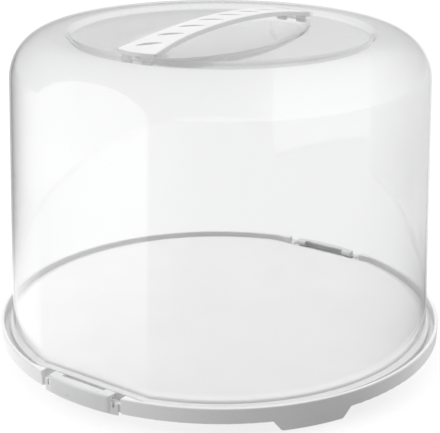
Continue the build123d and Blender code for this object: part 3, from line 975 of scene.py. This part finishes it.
# the soft light that the floor gives, in the same way
FLOOR_LIT = (
    (0.0, 1.02), (0.15, 1.044), (0.25, 0.864), (0.35, 0.588), (0.44, 0.36), (0.49, 0.72), (0.52, 1.2),
    (0.57, 1.2), (0.63, 0.72), (0.9, 0.72), (1.0, 1.02),
)
# (height of the direction, brightness), from level to straight up
SKY = ((0.0, 0.75), (0.3, 0.85), (1.0, 1.5))
ROOM = ((0.0, 0.65), (0.2, 0.55), (0.34, 0.5), (0.6, 0.5), (1.0, 0.3))
SKY_DIM_AZIMUTH = radians(58)
SKY_SIDES = (1.15, 0.25)  # the sky's share opposite the dim side, and on it
LIGHT_AIM = 100 * MM  # the soft lights face this height on the carrier's axis
# name, azimuth, elevation, distance, width, height, radiance
LIGHTS = (
    ("top_box", -150, 62, 1.6, 1.6, 1.2, 1.6),
    ("left_box", -50, 40, 1.6, 1.2, 1.0, 1.2),
    ("right_box", 140, 14, 1.8, 1.2, 1.0, 1.4),
)


def soft_box(name, azimuth, elevation, distance, width, height, radiance):
    """A rectangular soft light without a hot spot; its azimuth runs from the front towards the right."""
    azimuth, elevation = radians(azimuth), radians(elevation)
    away = Vector((sin(azimuth) * cos(elevation), -cos(azimuth) * cos(elevation), sin(elevation)))
    light = bpy.data.lights.new(name, "AREA")
    light.shape = "RECTANGLE"
    light.size, light.size_y = width, height
    light.energy = pi * width * height * radiance
    lamp = bpy.data.objects.new(name, light)
    bpy.context.scene.collection.objects.link(lamp)
    lamp.location = away * distance + Vector((0, 0, LIGHT_AIM))
    lamp.rotation_euler = away.to_track_quat("Z", "Y").to_euler()
    lamp.visible_camera = False
    lamp.visible_transmission = False
    lamp.visible_glossy = False
    return lamp


def graded(tree, value, stops, top=1.0):
    """A grey that follows a value through (position, brightness) stops, as a share of the top brightness."""
    ramp = tree.nodes.new("ShaderNodeValToRGB")
    wire(tree, ramp.inputs[0], value)
    marks = ramp.color_ramp.elements
    for position, _ in stops[1:-1]:
        marks.new(position)
    marks[-1].position = stops[-1][0]
    for mark, (position, bright) in zip(marks, stops):
        mark.position = position
        mark.color = (bright / top, bright / top, bright / top, 1.0)
    return ramp.outputs[0]


def studio_world():
    """White to the eye, an even soft sky for light, and a dim room for reflections."""
    world = bpy.data.worlds.new("studio")
    bpy.context.scene.world = world
    world.use_nodes = True
    tree = world.node_tree
    tree.nodes.clear()
    parts = tree.nodes.new("ShaderNodeSeparateXYZ")
    wire(tree, parts.inputs[0], tree.nodes.new("ShaderNodeTexCoord").outputs["Generated"])
    path = tree.nodes.new("ShaderNodeLightPath").outputs

    def background(shade):
        node = tree.nodes.new("ShaderNodeBackground")
        wire(tree, node.inputs["Color"], shade)
        return node.outputs[0]

    def choose(factor, off, on):
        node = tree.nodes.new("ShaderNodeMixShader")
        for socket, value in zip(node.inputs, (factor, off, on)):
            wire(tree, socket, value)
        return node.outputs[0]

    reflected = maths(tree, "GREATER_THAN", path["Glossy Depth"], 0.5)
    toward = maths(
        tree,
        "ADD",
        maths(tree, "MULTIPLY", parts.outputs["X"], sin(SKY_DIM_AZIMUTH)),
        maths(tree, "MULTIPLY", parts.outputs["Y"], -cos(SKY_DIM_AZIMUTH)),
    )
    side = map_range(tree, toward, -1.0, 1.0, *SKY_SIDES)
    sky = background(maths(tree, "MULTIPLY", side, graded(tree, parts.outputs["Z"], SKY)))
    room = background(graded(tree, parts.outputs["Z"], ROOM))
    unlit = choose(reflected, sky, room)
    shown = choose(path["Is Camera Ray"], unlit, background((1.0, 1.0, 1.0, 1.0)))
    wire(tree, tree.nodes.new("ShaderNodeOutputWorld").inputs["Surface"], shown)


def floor_material():
    """White floor; its reflection and the soft light it gives follow the bearing from the carrier."""
    material = bpy.data.materials.new("floor_white")
    material.use_nodes = True
    material.cycles.emission_sampling = "NONE"
    tree = material.node_tree
    shader = tree.nodes["Principled BSDF"]
    shader.inputs["Base Color"].default_value = (*[FLOOR_TONE] * 3, 1.0)
    shader.inputs["Roughness"].default_value = 0.9
    shader.inputs["Specular IOR Level"].default_value = 0.1
    shader.inputs["Emission Color"].default_value = (1.0, 1.0, 1.0, 1.0)
    shader.inputs["Emission Strength"].default_value = FLOOR_GLOW
    bearing = tree.nodes.new("ShaderNodeTexGradient")
    bearing.gradient_type = "RADIAL"
    wire(tree, bearing.inputs[0], tree.nodes.new("ShaderNodeTexCoord").outputs["Object"])
    path = tree.nodes.new("ShaderNodeLightPath").outputs
    shown = shader.outputs[0]
    reflected = maths(tree, "GREATER_THAN", path["Glossy Depth"], 0.5)
    for seen, stops in ((path["Is Diffuse Ray"], FLOOR_LIT), (reflected, FLOOR_SEEN)):
        top = max(bright for _, bright in stops)
        glow = tree.nodes.new("ShaderNodeEmission")
        wire(tree, glow.inputs["Color"], graded(tree, bearing.outputs[1], stops, top))
        glow.inputs["Strength"].default_value = top
        mix = tree.nodes.new("ShaderNodeMixShader")
        wire(tree, mix.inputs[0], seen)
        wire(tree, mix.inputs[1], shown)
        wire(tree, mix.inputs[2], glow.outputs[0])
        shown = mix.outputs[0]
    wire(tree, tree.nodes["Material Output"].inputs["Surface"], shown)
    return material


class CARRIER_OT_studio(bpy.types.Operator):
    """Builds the pale floor, the soft lights, the room and the camera"""

    bl_idname = "carrier.studio"
    bl_label = "Studio"

    def execute(self, context):
        studio = settings("carrier_studio")
        half = studio.floor_size / 2
        mesh = bpy.data.meshes.new("floor")
        corners = [(-half, -half, 0), (half, -half, 0), (half, half, 0), (-half, half, 0)]
        mesh.from_pydata(corners, [], [(0, 1, 2, 3)])
        floor = new_object("floor", mesh)
        paint(floor, floor_material())

        studio_world()
        for light in LIGHTS:
            soft_box(*light)

        camera = bpy.data.cameras.new("camera")
        camera.lens = studio.lens
        camera.sensor_width = 36.0
        eye = bpy.data.objects.new("camera", camera)
        context.scene.collection.objects.link(eye)
        az, down = studio.azimuth, studio.pitch
        eye.location = (studio.distance * sin(az), -studio.distance * cos(az), studio.height)
        look = Vector((-sin(az) * cos(down), cos(az) * cos(down), -sin(down)))
        turn = look.to_track_quat("-Z", "Y").to_matrix() @ Matrix.Rotation(studio.roll, 3, "Z")
        eye.rotation_euler = turn.to_euler()
        context.scene.camera = eye
        context.scene.view_settings.view_transform = "Standard"
        return {"FINISHED"}


# ---------------------------------------------------------------- panel and run

OPERATORS = (
    CARRIER_OT_hood,
    CARRIER_OT_tray,
    CARRIER_OT_handle,
    CARRIER_OT_clips,
    CARRIER_OT_studio,
)
GROUPS = {
    "carrier_hood": CarrierHoodSizes,
    "carrier_sockets": CarrierSocketSizes,
    "carrier_pins": CarrierPinSizes,
    "carrier_marks": CarrierMarkSizes,
    "carrier_finish": CarrierFinish,
    "carrier_studio": CarrierStudio,
}


class CARRIER_PT_panel(bpy.types.Panel):
    """Sizes, finishes and build steps of the cake carrier"""

    bl_idname = "CARRIER_PT_panel"
    bl_label = "Cake carrier"
    bl_space_type = "VIEW_3D"
    bl_region_type = "UI"
    bl_category = "Carrier"

    def draw(self, context):
        for operator in OPERATORS:
            self.layout.operator(operator.bl_idname)
        for name, group in GROUPS.items():
            box = self.layout.box()
            box.label(text=group.__name__)
            values = getattr(context.scene, name)
            for key in group.__annotations__:
                box.prop(values, key)


def register():
    for group in GROUPS.values():
        bpy.utils.register_class(group)
    for operator in OPERATORS:
        bpy.utils.register_class(operator)
    bpy.utils.register_class(CARRIER_PT_panel)
    for name, group in GROUPS.items():
        setattr(bpy.types.Scene, name, PointerProperty(type=group))


def unregister():
    for name in GROUPS:
        delattr(bpy.types.Scene, name)
    bpy.utils.unregister_class(CARRIER_PT_panel)
    for cls in (*OPERATORS, *GROUPS.values()):
        bpy.utils.unregister_class(cls)


def main():
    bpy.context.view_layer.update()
    register()
    for operator in OPERATORS:
        family, step = operator.bl_idname.split(".")
        getattr(getattr(bpy.ops, family), step)()


if __name__ == "__main__":
    main()
